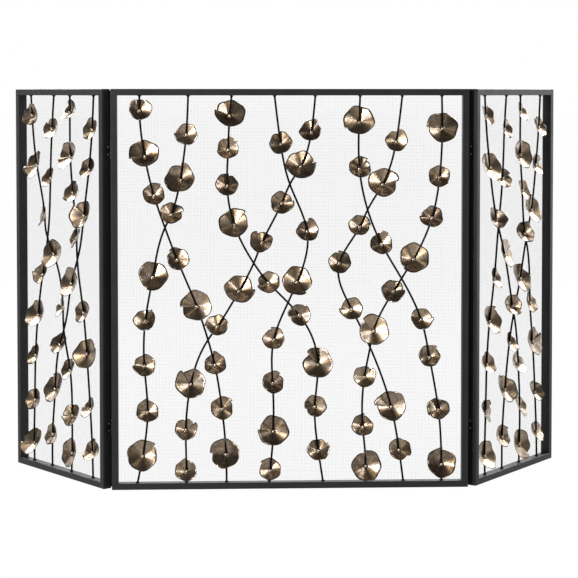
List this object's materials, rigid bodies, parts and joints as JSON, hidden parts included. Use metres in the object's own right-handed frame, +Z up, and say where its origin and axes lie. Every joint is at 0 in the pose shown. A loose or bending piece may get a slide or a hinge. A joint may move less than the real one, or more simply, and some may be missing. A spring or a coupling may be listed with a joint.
{
  "type": "folding fireplace screen",
  "caption": "Freestanding three-panel fireplace screen: black frames, wire mesh backs, bronze lily pads on crossing vine rods, wings that fold on hinges.",
  "frame": {"origin": "on the floor under the middle of the centre panel's bottom rail, at mid-depth of the rail", "axes": "+Z up; +X to the right as seen from the room, along the centre panel; -Y towards the room, the wings folded back towards +Y"},
  "size_m": [1.1328, 0.2921, 0.787],
  "materials": {
    "frame_black": "satin black powder coat on welded steel tube",
    "vine_black": "black powder coat on steel rod",
    "pad_bronze": "antique bronze over brushed sheet steel, lacquered",
    "mesh_wire": "fine woven steel wire cloth, dull grey-black",
    "hinge_black": "black painted pressed steel",
    "hinge_steel": "dull zinc-plated steel"
  },
  "bodies": {
    "centre_panel": {"centre_top_rail": "frame_black", "centre_bottom_rail": "frame_black", "centre_left_stile": "frame_black", "centre_right_stile": "frame_black", "centre_mesh": "mesh_wire", "centre_mesh_retainers": "frame_black", "centre_vine_1": "vine_black", "centre_vine_2": "vine_black", "centre_vine_3": "vine_black", "centre_vine_4": "vine_black", "centre_vine_5": "vine_black", "centre_vine_6": "vine_black", "centre_vine_7": "vine_black", "centre_vine_8": "vine_black", "centre_pads_1": "pad_bronze", "centre_pads_2": "pad_bronze", "centre_pads_3": "pad_bronze", "centre_pads_4": "pad_bronze", "centre_pads_5": "pad_bronze", "centre_pads_6": "pad_bronze", "centre_pads_7": "pad_bronze", "centre_pads_8": "pad_bronze", "left_upper_hinge_frame_leaf": "hinge_black", "left_lower_hinge_frame_leaf": "hinge_black", "right_upper_hinge_frame_leaf": "hinge_black", "right_lower_hinge_frame_leaf": "hinge_black", "centre_hinge_screws": "hinge_steel", "hinge_pins": "hinge_steel"},
    "left_wing": {"left_top_rail": "frame_black", "left_bottom_rail": "frame_black", "left_left_stile": "frame_black", "left_right_stile": "frame_black", "left_mesh": "mesh_wire", "left_mesh_retainers": "frame_black", "left_vine_1": "vine_black", "left_vine_2": "vine_black", "left_vine_3": "vine_black", "left_vine_4": "vine_black", "left_pads": "pad_bronze", "left_upper_hinge_wing_leaf": "hinge_black", "left_lower_hinge_wing_leaf": "hinge_black", "left_hinge_screws": "hinge_steel"},
    "right_wing": {"right_top_rail": "frame_black", "right_bottom_rail": "frame_black", "right_left_stile": "frame_black", "right_right_stile": "frame_black", "right_mesh": "mesh_wire", "right_mesh_retainers": "frame_black", "right_vine_1": "vine_black", "right_vine_2": "vine_black", "right_vine_3": "vine_black", "right_vine_4": "vine_black", "right_pads": "pad_bronze", "right_upper_hinge_wing_leaf": "hinge_black", "right_lower_hinge_wing_leaf": "hinge_black", "right_hinge_screws": "hinge_steel"}
  },
  "joints": [
    {"name": "left_wing_hinge", "type": "hinge", "parent": "centre_panel", "child": "left_wing", "pos_m": [-0.3515, 0.0111, 0.3935], "axis": [0, 0, -1], "range_deg": [-53, 127]},
    {"name": "right_wing_hinge", "type": "hinge", "parent": "centre_panel", "child": "right_wing", "pos_m": [0.3515, 0.0111, 0.3935], "axis": [0, 0, 1], "range_deg": [-53, 127]}
  ]
}
